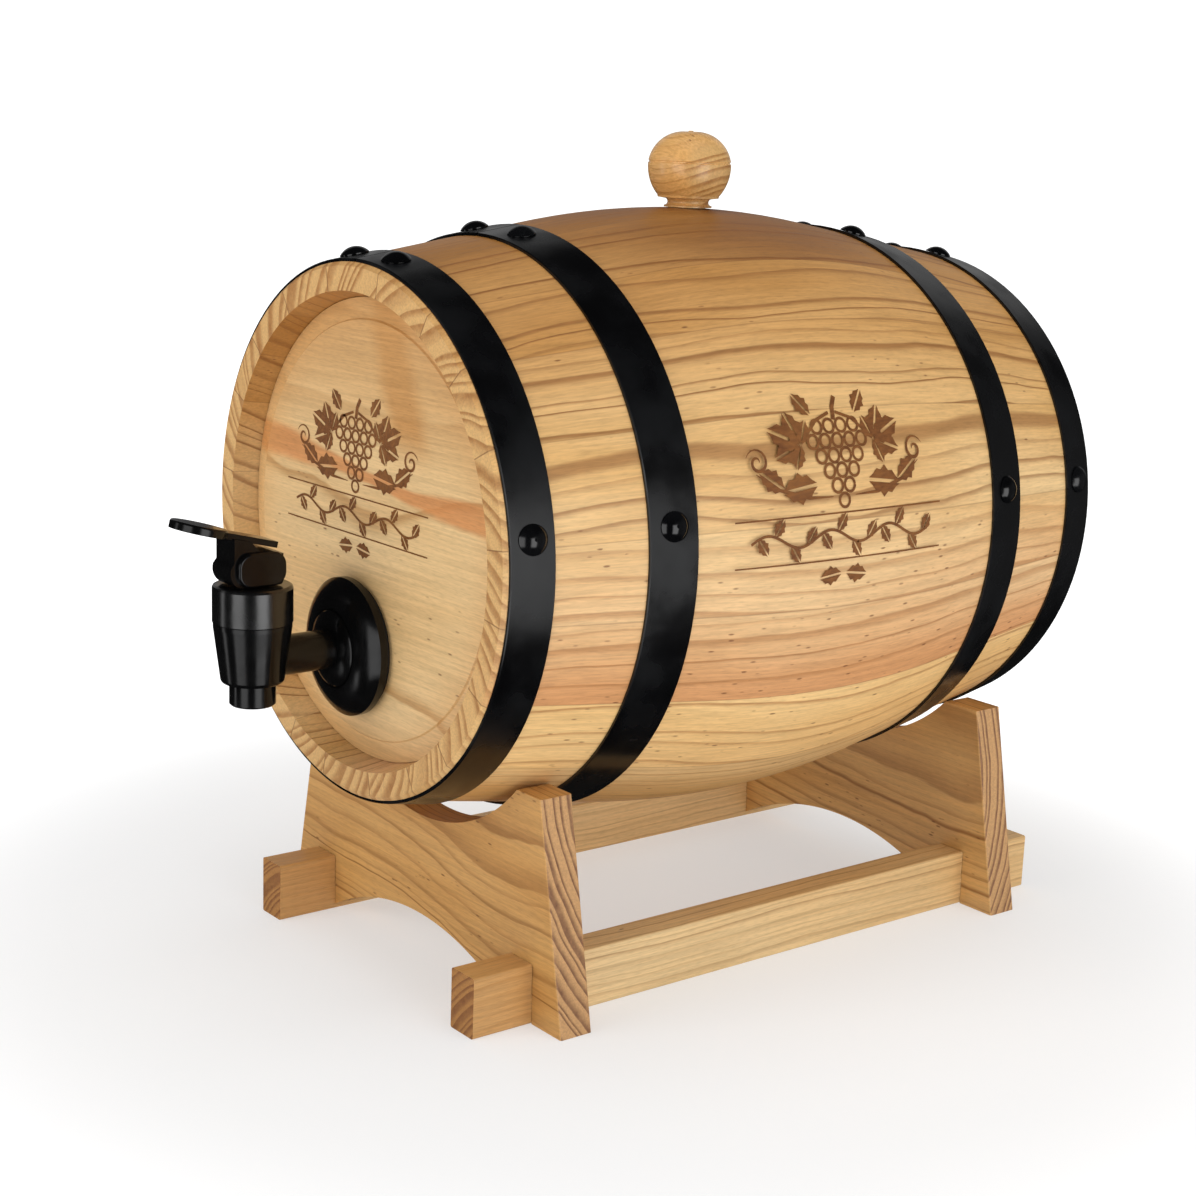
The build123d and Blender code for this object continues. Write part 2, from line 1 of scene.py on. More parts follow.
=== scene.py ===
"""The looks of a small pine wine barrel on its stand: wood, steel, plastic, burnt marks and a studio."""

from math import atan2, ceil, cos, degrees, hypot, pi, radians, sin

import bpy
from mathutils import Matrix, Vector


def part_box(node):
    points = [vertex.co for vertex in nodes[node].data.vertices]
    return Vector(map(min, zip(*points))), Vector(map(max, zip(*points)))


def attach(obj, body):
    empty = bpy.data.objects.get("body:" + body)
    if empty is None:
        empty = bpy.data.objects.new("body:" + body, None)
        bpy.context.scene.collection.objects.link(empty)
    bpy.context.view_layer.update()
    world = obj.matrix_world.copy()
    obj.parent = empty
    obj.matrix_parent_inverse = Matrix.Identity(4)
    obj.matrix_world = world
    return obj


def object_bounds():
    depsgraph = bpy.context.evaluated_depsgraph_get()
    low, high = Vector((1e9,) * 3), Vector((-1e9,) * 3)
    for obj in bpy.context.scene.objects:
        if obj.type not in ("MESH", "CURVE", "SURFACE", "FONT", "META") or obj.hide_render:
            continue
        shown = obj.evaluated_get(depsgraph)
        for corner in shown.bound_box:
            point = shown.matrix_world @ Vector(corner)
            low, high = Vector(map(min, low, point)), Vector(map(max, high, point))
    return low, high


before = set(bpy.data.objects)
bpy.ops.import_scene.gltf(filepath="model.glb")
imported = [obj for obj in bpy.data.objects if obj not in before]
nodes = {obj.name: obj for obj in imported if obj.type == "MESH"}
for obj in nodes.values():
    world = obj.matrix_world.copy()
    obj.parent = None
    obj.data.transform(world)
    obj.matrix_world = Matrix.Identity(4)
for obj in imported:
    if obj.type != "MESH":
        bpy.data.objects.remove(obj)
cad_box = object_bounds()
scene = bpy.context.scene

STAVE_COUNT = 20
HOOPS = ("front_end_hoop", "front_bilge_hoop", "rear_bilge_hoop", "rear_end_hoop")
# The tap's plain black mouldings; its bonnet has a plastic of its own.
MOULDINGS = ("tap_body", "tap_escutcheon", "tap_nut", "valve_stem", "tap_lever")
BLACK_RUBBERS = ("outer_tap_washer", "inner_tap_washer", "bung_seal")


def middle(node):
    """The middle of a CAD node's box."""
    low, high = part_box(node)
    return (low + high) / 2


# The barrel's shape, read from the frame.
AXIS = Vector((0, middle("stave_01").y, middle("front_end_hoop").z))
BILGE_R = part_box("stave_01")[1].z - AXIS.z
HALF_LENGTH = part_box("stave_01")[1].y - AXIS.y
END_BAND = 0.0015
END_R = max(
    Vector((v.co.x, v.co.z - AXIS.z)).length
    for v in nodes["stave_01"].data.vertices
    if v.co.y > AXIS.y + HALF_LENGTH - END_BAND
)
MEAN_R = (BILGE_R + END_R) / 2
BEND = (BILGE_R - END_R) / HALF_LENGTH**2


def shell_r(along):
    """The barrel's outer radius at a distance along it from its middle, near enough for drawing on it."""
    return BILGE_R - BEND * along**2


def paint(code):
    """A colour written as six hex digits, as the shader's own linear values."""
    parts = [int(code[i : i + 2], 16) / 255 for i in (0, 2, 4)]
    return (*[c / 12.92 if c <= 0.04045 else ((c + 0.055) / 1.055) ** 2.4 for c in parts], 1.0)


class Shader:
    """The node tree of a material or a world, with short ways to add and link its nodes."""

    def __init__(self, owner):
        owner.use_nodes = True
        self.owner = owner
        self.tree = owner.node_tree
        self.tree.nodes.clear()
        self.coordinates = self.node("TexCoord").outputs
        self.place = self.coordinates["Object"]

    def node(self, kind, inputs=None, **settings):
        made = self.tree.nodes.new("ShaderNode" + kind)
        for key, value in settings.items():
            setattr(made, key, value)
        for key, value in (inputs or {}).items():
            if isinstance(value, bpy.types.NodeSocket):
                self.tree.links.new(value, made.inputs[key])
            else:
                made.inputs[key].default_value = value
        return made

    def math(self, operation, *values):
        return self.node("Math", dict(enumerate(values)), operation=operation).outputs[0]

    def add(self, total, *others):
        for other in others:
            total = self.math("ADD", total, other)
        return total

    def minus(self, a, b):
        return self.math("SUBTRACT", a, b)

    def times(self, product, *others):
        for other in others:
            product = self.math("MULTIPLY", product, other)
        return product

    def times_add(self, a, b, c):
        """a times b, plus c."""
        return self.math("MULTIPLY_ADD", a, b, c)

    def size(self, value):
        """A value without its sign."""
        return self.math("ABSOLUTE", value)

    def reach(self, x, y):
        """The distance of a point from the origin of its plane."""
        return self.math("SQRT", self.add(self.times(x, x), self.times(y, y)))

    def vector(self, operation, a, b):
        return self.node("VectorMath", {0: a, 1: b}, operation=operation).outputs[0]

    def split(self, vector):
        return self.node("SeparateXYZ", {0: vector}).outputs

    def join(self, x, y, z):
        return self.node("CombineXYZ", {0: x, 1: y, 2: z}).outputs[0]

    def step(self, value, low, high, to_low=0.0, to_high=1.0):
        """A smooth step of value from low to high."""
        ends = {"Value": value, "From Min": low, "From Max": high, "To Min": to_low, "To Max": to_high}
        return self.node("MapRange", ends, interpolation_type="SMOOTHSTEP").outputs["Result"]

    def mix(self, factor, a, b, blend="MIX"):
        return self.node("Mix", {0: factor, 6: a, 7: b}, data_type="RGBA", blend_type=blend).outputs[2]

    def shade(self, colour, level):
        """A colour made lighter or darker by a level."""
        return self.mix(1.0, colour, self.join(level, level, level), "MULTIPLY")

    def noise(self, vector, scale, seed=0.0, detail=2.0, output="Fac"):
        """Noise with a scale of its own along each direction, in cells per metre."""
        scaled = self.vector("MULTIPLY", vector, scale)
        inputs = {"Vector": scaled, "W": seed, "Scale": 1.0, "Detail": detail}
        return self.node("TexNoise", inputs, noise_dimensions="4D").outputs[output]

    def sway(self, vector, scale, seed, detail, span):
        """Noise as a shift across and into a board, within half a span of metres either way."""
        drift = self.vector("SUBTRACT", self.noise(vector, scale, seed, detail, "Color"), (0.5, 0.5, 0.5))
        return self.vector("MULTIPLY", drift, (span, span, 0))

    def finish(self, height=None, distance=0.0002, strength=1.0, **inputs):
        """Ends a material in one principled shader; height, where given, becomes its bump."""
        sockets = {key.replace("_", " "): value for key, value in inputs.items()}
        if height is not None:
            bump = {"Height": height, "Distance": distance, "Strength": strength}
            sockets["Normal"] = self.node("Bump", bump).outputs[0]
        surface = self.node("BsdfPrincipled", sockets)
        self.node("OutputMaterial", {"Surface": surface.outputs[0]})
        return self.owner


def new_material(name):
    return Shader(bpy.data.materials.new(name))


def wear(node, material):
    """Gives a CAD node this material."""
    for slot in node.material_slots:
        slot.material = material


# Pine. Grain coordinates are metres across, into and along the board; its rings are circles round a
# pith that lies outside the board. Each noise has a seed of its own, a step away from the board's.

# How far the rings sway slowly and ripple, in metres, and how unevenly they are spaced, in rings.
SWAY = 0.014
RIPPLE = 0.0024
RING_DRIFT = 2.2
PORE_TONE = "70401C"
JOINT_TONE = "6E4420"


def bent_grain(shader, angle):
    """Straightens a stave whose middle is at this angle from the top of the barrel."""
    turn = {"Vector": shader.vector("SUBTRACT", shader.place, AXIS), "Angle": -angle}
    x, y, z = shader.split(shader.node("VectorRotate", turn, rotation_type="Y_AXIS").outputs[0])
    across = shader.times(shader.math("ARCTAN2", x, z), MEAN_R)
    depth = shader.minus(shader.add(shader.reach(x, z), shader.times(y, y, BEND)), BILGE_R)
    return shader.join(across, depth, y)


def board_grain(shader, origin, order):
    """Grain coordinates of a straight board: order names the axes that run across, into and along it."""
    parts = dict(zip("xyz", shader.split(shader.vector("SUBTRACT", shader.place, origin))))
    return shader.join(*[parts[letter] for letter in order])


def growth_rings(shader, place, seed, pith, spacing, slope):
    """How much each point belongs to late wood, and how far through its year's ring it lies."""
    moved = shader.vector("ADD", place, shader.sway(place, (8, 8, 7), seed, 1.0, SWAY))
    moved = shader.vector("ADD", moved, shader.sway(place, (55, 55, 28), seed + 3, 2.0, RIPPLE))
    across, depth, length = shader.split(moved)
    across = shader.minus(shader.times_add(length, slope, across), pith[0])
    turns = shader.math("DIVIDE", shader.reach(across, shader.minus(depth, pith[1])), spacing)
    uneven = {"W": shader.times_add(turns, 0.45, seed), "Scale": 1.0, "Detail": 1.0}
    uneven = shader.node("TexNoise", uneven, noise_dimensions="1D").outputs["Fac"]
    turns = shader.times_add(uneven, RING_DRIFT, turns)
    phase = shader.math("FRACT", turns)
    year = {"W": shader.add(shader.math("FLOOR", turns), seed)}
    year = shader.node("TexWhiteNoise", year, noise_dimensions="1D").outputs["Value"]
    rise = shader.math("POWER", shader.step(phase, shader.times_add(year, 0.35, 0.35), 0.92), 1.7)
    fall = shader.step(phase, 1.0, 0.94)
    return shader.times(rise, fall, shader.step(year, 0.0, 1.0, 0.4, 1.0)), phase


def resin_pores(shader, place, seed, amount):
    """Short dark pores along the fibres, in patches; amount runs from 0, nearly none, to 1."""
    cells = {"Vector": shader.vector("MULTIPLY", place, (820, 820, 240)), "Scale": 1.0, "W": seed}
    cells = shader.node("TexVoronoi", cells, voronoi_dimensions="4D").outputs
    chosen = shader.step(shader.split(cells["Color"])[0], 0.91 - 0.09 * amount, 0.93 - 0.09 * amount)
    patch = shader.noise(place, (38, 38, 16), seed + 5)
    patch = shader.step(patch, 0.56 - 0.16 * amount, 0.64 - 0.16 * amount)
    return shader.times(shader.step(cells["Distance"], 0.42, 0.16), chosen, patch)


def pine(name, grain, along, seed, pith, spacing, pale, mid, dark, contrast, pores, slope=0.0, gloss=0.0,
         half_width=None, second=None, extra=None, ends=("CFA468", "9E6A34")):
    """Varnished pine.

    along is the frame's axis that its fibres follow, pith the place of the pith and spacing the width of
    a year's ring. pale and mid are the tones of the early wood and dark that of the late wood, which
    shows as strongly as contrast says. second holds the pale and mid tones that a board changes to
    across its width, extra adds further colouring: a board's own streaks and stains, a front head darker
    towards its top and rim, and painted shade round the bung hole. ends are the tones of its end grain.
    """
    shader = new_material(name)
    place = grain(shader)
    across = shader.split(place)[0]
    late, phase = growth_rings(shader, place, seed, pith, spacing, slope)
    pore = resin_pores(shader, place, seed, pores)
    fibre = shader.noise(place, (1100, 1100, 22), seed + 11)
    fleck = shader.noise(place, (2200, 2200, 240), seed + 17, 1.0)
    streak = shader.times(shader.step(fibre, 0.3, 0.7, 0.88, 1.06), shader.step(fleck, 0.25, 0.6, 0.90, 1.03))
    facing = shader.split(shader.coordinates["Normal"])["xyz".index(along)]
    end = shader.step(shader.size(facing), 0.60, 0.85)

    tones = [paint(pale), paint(mid)]
    if second:
        side = shader.step(across, -half_width, half_width)
        tones = [shader.mix(side, tone, paint(other)) for tone, other in zip(tones, second)]
    patch = shader.noise(place, (22, 22, 5), seed + 7, 3.0)
    colour = shader.mix(shader.step(patch, 0.35, 0.68), *tones)
    colour = shader.mix(shader.times(late, contrast), colour, paint(dark))
    if extra:
        colour = extra(shader, place, colour)
    colour = shader.shade(colour, streak)
    colour = shader.mix(shader.times(pore, 0.75), colour, paint(PORE_TONE))

    broad = shader.times(shader.step(phase, 0.25, 0.80), shader.step(phase, 1.0, 0.90))
    ragged = shader.step(shader.noise(place, (320, 320, 320), seed + 13), 0.2, 0.8, 0.6, 1.0)
    cut_end = shader.mix(shader.times(broad, ragged), paint(ends[0]), paint(ends[1]))
    colour = shader.mix(shader.times(end, 0.92), colour, shader.shade(cut_end, streak))
    if half_width is not None:
        joint = shader.step(shader.minus(half_width, shader.size(across)), 0.0004, 0.0001)
        colour = shader.mix(shader.times(joint, shader.times_add(end, 0.4, 0.3)), colour, paint(JOINT_TONE))

    rough = shader.step(fibre, 0.2, 0.8, 0.40 - gloss, 0.54 - gloss)
    rough = shader.times_add(end, 0.12, rough)
    height = shader.minus(shader.add(shader.times(late, 0.4), shader.times(fibre, 0.35)), pore)
    return shader.finish(height, 0.00012, 0.6, Base_Color=colour, Roughness=rough,
                         Coat_Weight=0.15 + gloss, Coat_Roughness=0.30 - 0.5 * gloss)


# The barrel's wood. Angles are degrees from the top of the barrel towards +X.

# The pale and mid tones round the near side, from the first angle to the last. They are partly the wood's own
# amber and partly painted light and shade: darkest over the top, palest on the side towards the right
# softbox, and darker again towards the underside.
SHADED_TONES = (
    (-60, "BD8B4C", "AC7534"),
    (-8, "AE763A", "9C6528"),
    (10, "B07A3C", "A06A2A"),
    (25, "C48F4E", "B27A38"),
    (50, "D5A566", "C4904C"),
    (70, "E0BA80", "D2A462"),
    (95, "E4C28C", "D9AD76"),
    (104, "DFB280", "D4A06C"),
    (117, "D89E6A", "CE925C"),
)
STRAW_TONES = (("EAC284", "DCAE6C"), ("E6BD80", "DAA968"))
STRAW_END = 137
FAR_TONES = (("D6AC70", "C8985A"), ("DEBA84", "D0A468"), ("CFA060", "C08C4C"), ("DCAE7E", "CE9A68"))
# Staves past this angle have paler late wood and more pores.
POROUS_FROM = 80


def stave_span(node):
    """The angles from the barrel's top, in radians, at which a stave begins and ends."""
    points = [v.co - AXIS for v in node.data.vertices]
    guess = sum(points, Vector()) / len(points)
    heading = atan2(guess.x, guess.z)
    turned = [Matrix.Rotation(-heading, 3, "Y") @ p for p in points]
    angles = [atan2(p.x, p.z) for p in turned]
    return heading + min(angles), heading + max(angles)


def blend_codes(a, b, share):
    """Two colours written as hex digits, mixed."""
    pairs = [(int(a[i : i + 2], 16), int(b[i : i + 2], 16)) for i in (0, 2, 4)]
    return "".join(f"{round(p + (q - p) * share):02X}" for p, q in pairs)


def tone_at(angle):
    """The pale and mid tones of the near side at an angle in degrees, painted light and shade included."""
    for (low, *first), (high, *after) in zip(SHADED_TONES, SHADED_TONES[1:]):
        if angle <= high:
            share = max(0.0, (angle - low) / (high - low))
            return [blend_codes(p, q, share) for p, q in zip(first, after)]
    return list(SHADED_TONES[-1][1:])


def stave_tones(number, start, end):
    """The tones at a stave's two edges, which lie at these angles in degrees."""
    centre = (start + end) / 2
    if SHADED_TONES[0][0] < centre < SHADED_TONES[-1][0]:
        return tone_at(start), tone_at(end)
    if SHADED_TONES[-1][0] < centre < STRAW_END:
        return STRAW_TONES
    return FAR_TONES[number % len(FAR_TONES)], FAR_TONES[(number + 1) % len(FAR_TONES)]


def bung_painted_shade(shader, place, colour):
    """Painted shade on the dimly lit top of the barrel: the wood round the bung hole is darkened, furthest
    along the fibres.
    """
    across, _, length = shader.split(place)
    beyond = shader.minus(length, (middle("bung_knob") - AXIS).y)
    away = shader.reach(across, shader.times(beyond, 0.4))
    away = shader.times_add(shader.noise(place, (60, 60, 25), 9.0), 0.012, away)
    return shader.mix(shader.step(away, 0.046, 0.014, 0.0, 0.75), colour, paint("8A5522"))


def dress_staves():
    for number in range(1, STAVE_COUNT + 1):
        node = nodes[f"stave_{number:02d}"]
        start, end = stave_span(node)
        centre = (start + end) / 2
        tones, second = stave_tones(number, degrees(start), degrees(end))
        porous = degrees(centre) > POROUS_FROM
        wear(node, pine(
            f"pine_stave_{number:02d}", lambda s, a=centre: bent_grain(s, a), "y", 1.37 * number,
            pith=(0.10 + 0.02 * sin(2.3 * number), -0.10 + 0.01 * cos(1.7 * number)),
            spacing=0.0060 + 0.0012 * sin(4.1 * number),
            slope=0.05 * sin(3.1 * number),
            half_width=(end - start) / 2 * MEAN_R,
            pale=tones[0],
            mid=tones[1],
            second=second,
            dark="A46A34" if porous else "865120",
            contrast=0.65 if porous else 0.82,
            pores=1.0 if porous else 0.4,
            # The staves round the bung hole get painted shade.
            extra=bung_painted_shade if number in (1, 2, STAVE_COUNT) else None,
        ))


def head_streaks(shader, place, colour):
    """The front head's darker wood in a wedge right across and a slanting patch above it; the head is also
    darker towards its top and towards its rim.
    """
    height, _, across = shader.split(place)
    wobble = shader.times(shader.minus(shader.noise(place, (60, 60, 16), 4.0, 3.0), 0.5), 0.012)
    line = shader.minus(height, shader.times_add(across, -0.066, 0.0199))
    left = shader.times(shader.math("MAXIMUM", shader.times(across, -1.0), 0.0), 0.070)
    right = shader.times(shader.math("MAXIMUM", across, 0.0), 0.045)
    swell = shader.add(0.0018, left, right)
    wedge = shader.step(shader.math("DIVIDE", shader.size(shader.add(line, wobble)), swell), 1.3, 0.6)
    colour = shader.mix(shader.times(wedge, 0.85), colour, paint("C98347"))
    slant = shader.add(shader.minus(shader.times_add(height, 0.35, across), 0.038), wobble)
    patch = shader.times(shader.step(shader.size(slant), 0.017, 0.004), shader.step(height, 0.024, 0.042))
    colour = shader.mix(shader.times(patch, 0.8), colour, paint("B9803F"))
    colour = shader.mix(shader.step(height, 0.030, 0.060, 0.0, 0.6), colour, paint("C08D50"))
    rim = shader.step(shader.reach(height, across), 0.060, 0.082, 0.0, 0.35)
    return shader.mix(rim, colour, paint("C99356"))


def dress_heads():
    for name, seed, streaks in (("front_head", 31.0, head_streaks), ("rear_head", 47.0, None)):
        origin = Vector((0, middle(name).y, AXIS.z))
        wear(nodes[name], pine(
            f"pine_{name}", lambda s, o=origin: board_grain(s, o, "zyx"), "x", seed,
            pith=(-0.02, 0.16), spacing=0.009, pale="DFBD88", mid="D5AD75", dark="AC7A40",
            contrast=0.7, pores=0.5, extra=streaks,
        ))


def dress_bung():
    wear(nodes["bung_knob"], pine(
        "pine_bung", lambda s: board_grain(s, middle("bung_knob"), "yzx"), "x", 19.0,
        pith=(0.01, -0.03), spacing=0.0036, pale="E6B674", mid="D8A05C", dark="A06424",
        contrast=0.55, pores=0.0, gloss=0.2,
    ))


# The stand's wood.
CRADLE_PITHS = {"front_cradle_board": (0.05, 0.10), "rear_cradle_board": (0.03, -0.09)}
CRADLE_SEEDS = {"front_cradle_board": 61.0, "rear_cradle_board": 73.0}
RAIL_SEEDS = {"left_rail": 83.0, "right_rail": 97.0}


def rail_stain(shader, place, colour):
    """The rails' wood is browner towards the front."""
    length = shader.split(place)[2]
    return shader.mix(shader.step(length, -0.096, -0.122, 0.0, 0.8), colour, paint("C48D4C"))


def dress_stand():
    for name, seed in CRADLE_SEEDS.items():
        wear(nodes[name], pine(
            f"pine_{name}", lambda s, o=middle(name): board_grain(s, o, "zyx"), "x", seed,
            pith=CRADLE_PITHS[name], spacing=0.0032, slope=0.10, pale="D6A868", mid="C89350",
            dark="8E5A26", contrast=0.9, pores=0.5, ends=("C89A68", "6E4430"),
        ))
    for name, seed in RAIL_SEEDS.items():
        wear(nodes[name], pine(
            f"pine_{name}", lambda s, o=middle(name): board_grain(s, o, "xzy"), "y", seed,
            pith=(0.03, -0.035), spacing=0.0030, pale="EBCB96", mid="E0B87E", dark="9C6832",
            contrast=0.6, pores=0.1, ends=("AC763C", "7A4722"), extra=rail_stain,
        ))


# Steel, plastic and rubber.
def black_steel(name, roughness, seed):
    """Thin black lacquer on rolled strip: slightly uneven, with faint smears, whose lighter bluish patches
    are also a painted sheen standing in for a mottled grey reflection.
    """
    shader = new_material(name)
    smear_and_sheen = shader.noise(shader.place, (38, 38, 38), seed, 4.0)
    dent = shader.noise(shader.place, (45, 45, 45), seed + 2)
    speck = shader.noise(shader.place, (1500, 1500, 1500), seed + 4, 1.0)
    rough = shader.step(smear_and_sheen, 0.35, 0.65, roughness - 0.10, roughness + 0.12)
    # Painted sheen in part: the lighter bluish smears stand in for a mottled grey reflection.
    colour = shader.mix(shader.step(smear_and_sheen, 0.35, 0.75), paint("050506"), paint("101113"))
    height = shader.times_add(speck, 0.02, dent)
    return shader.finish(height, 0.0006, 0.4, Base_Color=colour, Roughness=rough, Specular_IOR_Level=0.45)


def black_plastic(name, low, high, shine):
    """Moulded plastic with the faintest orange peel, its roughness between low and high."""
    shader = new_material(name)
    peel = shader.noise(shader.place, (420, 420, 420), 5.0)
    dust = shader.noise(shader.place, (90, 90, 90), 8.0, 4.0)
    rough = shader.step(dust, 0.35, 0.75, low, high)
    colour = shader.mix(dust, paint("060606"), paint("0B0B0C"))
    return shader.finish(peel, 0.00006, 0.5, Base_Color=colour, Roughness=rough, Specular_IOR_Level=shine)


def rubber(name, code):
    shader = new_material(name)
    grit = shader.noise(shader.place, (900, 900, 900), 2.0)
    dull = shader.mix(1.0, paint(code), paint("D8D8D8"), "MULTIPLY")
    colour = shader.mix(grit, paint(code), dull)
    rough = shader.step(grit, 0.2, 0.8, 0.5, 0.65)
    return shader.finish(grit, 0.0001, 0.5, Base_Color=colour, Roughness=rough)


def plain_steel():
    """Bare drawn wire, with lines along X."""
    shader = new_material("pin_steel")
    lines = shader.noise(shader.place, (60, 2500, 2500), 3.0)
    colour = shader.mix(lines, paint("A9A9AB"), paint("C4C4C6"))
    rough = shader.step(lines, 0.2, 0.8, 0.22, 0.38)
    return shader.finish(lines, 0.00003, 0.5, Base_Color=colour, Metallic=1.0, Roughness=rough)


def dress_metal_and_plastic():
    for index, name in enumerate(HOOPS):
        wear(nodes[name], black_steel(f"lacquer_{name}", 0.26, 3.0 * index))
        wear(nodes[f"{name}_tacks"], black_steel(f"lacquer_{name}_tacks", 0.14, 40 + 3.0 * index))
    plastic = black_plastic("black_plastic", 0.14, 0.26, 0.3)
    for name in MOULDINGS:
        wear(nodes[name], plastic)
    wear(nodes["tap_bonnet"], black_plastic("bonnet_plastic", 0.20, 0.30, 0.7))
    black_rubber = rubber("seal_rubber", "1A1A1A")
    for name in BLACK_RUBBERS:
        wear(nodes[name], black_rubber)
    wear(nodes["seat_cup"], rubber("silicone", "E4E2DC"))
    wear(nodes["lever_pin"], plain_steel())


# Burnt marks: a bunch of grapes between vine leaves, and a running vine between two rules. Elements are
# drawn in millimetres, right and up of the mark's middle. Each lies at its own height just above the
# wood, so that no two of them lie in one surface where they cross.

# How far the marks lie above the wood, and the step between elements, in metres.
MARK_LIFT = 0.00010
MARK_LAYER = 0.00001
MARK_LAYERS = 9
# The longest quad in a line, then the sizes of the bunch, the leaves, the rules and the running vine.
MARK_STEP = 1.2
BUNCH = (4, 5, 4, 3, 2, 1)
BUNCH_TOP = 13.2
GRAPE_PITCH = 3.5
GRAPE_ROW = 3.1
GRAPE_R = 1.45
GRAPE_SIDES = 18
LEAF_PARTS = 8
TENDRIL_PARTS = 25
RULES = (-4.8, -14.4)
RULE_HALF = 30
VINE_HALF = 26
VINE_MIDDLE = -9.6
VINE_SWING = 1.5
VINE_PARTS = 60
# The marks' scales across and up, and where they lie: right and up of the head's middle, along the
# barrel from its middle, and round it from its top.
HEAD_MARK_SCALE = (1.58, 1.45)
HEAD_MARK_PLACE = (-0.009, 0.0185)
SIDE_MARK_SCALE = (1.62, 1.7)
SIDE_MARK_ALONG = -0.011
SIDE_MARK_TURN = radians(78.0)


def mark_stroke(points, width, taper=False):
    """A line through the points as quads, with one width or thinning to both ends."""
    spread = []
    for (x0, y0), (x1, y1) in zip(points, points[1:]):
        parts = max(1, ceil(hypot(x1 - x0, y1 - y0) / MARK_STEP))
        spread += [(x0 + (x1 - x0) * k / parts, y0 + (y1 - y0) * k / parts) for k in range(parts)]
    spread.append(points[-1])
    rows = []
    for index, (x, y) in enumerate(spread):
        before, after = spread[max(index - 1, 0)], spread[min(index + 1, len(spread) - 1)]
        dx, dy = after[0] - before[0], after[1] - before[1]
        length = hypot(dx, dy) or 1.0
        half = width / 2 * (sin(pi * (0.06 + 0.88 * index / (len(spread) - 1))) if taper else 1.0)
        out_x, out_y = -dy / length * half, dx / length * half
        rows.append(((x + out_x, y + out_y), (x - out_x, y - out_y)))
    return [(a[0], b[0], b[1], a[1]) for a, b in zip(rows, rows[1:])]


def mark_ring(x, y, r, width):
    """A grape: a circle drawn as a line."""
    turns = [2 * pi * k / GRAPE_SIDES for k in range(GRAPE_SIDES + 1)]
    return mark_stroke([(x + r * cos(turn), y + r * sin(turn)) for turn in turns], width)


def mark_leaf(x, y, size, heading):
    """A pointed leaf of two filled halves with a bare rib between them."""
    rib = 0.04

    def corner(t, out, side):
        scallop = 1 + 0.18 * sin(9 * pi * t)
        wide = size * 0.30 * sin(pi * min(t * 1.02, 1.0)) ** 0.8 * scallop * out
        along, across = size * t, side * max(wide, rib * size)
        return (
            x + along * cos(heading) - across * sin(heading),
            y + along * sin(heading) + across * cos(heading),
        )

    faces = []
    for side in (-1, 1):
        for k in range(LEAF_PARTS):
            start, end = k / LEAF_PARTS, (k + 1) / LEAF_PARTS
            corners = ((start, rib), (end, rib), (end, 1.0), (start, 1.0))
            faces.append(tuple(corner(t, out, side) for t, out in corners))
    return faces


def mark_vine_leaf(x, y, size, heading):
    """A vine leaf: five pointed lobes from one stalk, each an element."""
    lobes = ((0, 1.0), (0.75, 0.86), (-0.75, 0.86), (1.6, 0.62), (-1.6, 0.62))
    return [mark_leaf(x, y, size * length, heading + turn) for turn, length in lobes]


def mark_tendril(x, y, size, side):
    """A curl that winds in."""
    points = []
    for k in range(TENDRIL_PARTS + 1):
        share = k / TENDRIL_PARTS
        turn = share * 2.9 * pi + 0.4
        r = size * (1 - 0.85 * share)
        points.append((x + side * r * cos(turn), y + r * sin(turn)))
    return mark_stroke(points, 0.75, taper=True)


def vine_y(x):
    """The height of the running vine, which swings three times between its ends."""
    return VINE_MIDDLE + VINE_SWING * sin(3 * pi * (x + VINE_HALF) / VINE_HALF)


def grape_bunch():
    rings = []
    for row, count in enumerate(BUNCH):
        y = BUNCH_TOP - GRAPE_ROW * row
        rings += [mark_ring((k - (count - 1) / 2) * GRAPE_PITCH, y, GRAPE_R, 0.62) for k in range(count)]
    return rings


def leafy_side(side):
    """The leaves, stems and tendril on one side of the bunch."""
    lean = pi / 2 - side * pi / 2
    stem = [(side * 3.2, -1.4), (side * 10, -1.2), (side * 18, 1.0), (side * 23.6, 4.6)]
    return [
        *mark_vine_leaf(side * 10.6, 9.8, 9.0, lean + side * 0.42),
        mark_leaf(side * 7.6, 1.4, 9.5, lean - side * 0.12),
        mark_leaf(side * 6.4, 15.8, 6.0, lean + side * 0.9),
        mark_stroke([(side * 1.0, 16.0), (side * 5, 14.6), (side * 10.0, 10.4)], 0.7),
        mark_stroke(stem, 0.8, taper=True),
        mark_tendril(side * 22.8, 7.0, 3.0, side),
        mark_leaf(side * 16.6, 0.9, 7.4, lean + side * 0.6),
    ]


def running_vine():
    """Two rules, the vine between them with its leaves up and down in turn, and two leaves below."""
    xs = [-VINE_HALF + 2 * VINE_HALF * k / VINE_PARTS for k in range(VINE_PARTS + 1)]
    leaves = [-24 + 4.36 * k for k in range(12)]
    return [
        *[mark_stroke([(-RULE_HALF, y), (RULE_HALF, y)], 0.34) for y in RULES],
        mark_stroke([(x, vine_y(x)) for x in xs], 0.6),
        *[mark_leaf(x, vine_y(x), 4.4, 0.95 if k % 2 else -0.95) for k, x in enumerate(leaves)],
        *[mark_leaf(side * 0.8, -17.4, 6.0, pi / 2 - side * (pi / 2 + 0.12)) for side in (-1, 1)],
    ]


def mark_elements():
    """Every element of the mark, as a list of faces each."""
    stalk = mark_stroke([(0, 14.4), (0.5, 17.2), (1.8, 19.4)], 1.1)
    return [*grape_bunch(), stalk, *leafy_side(-1), *leafy_side(1), *running_vine()]


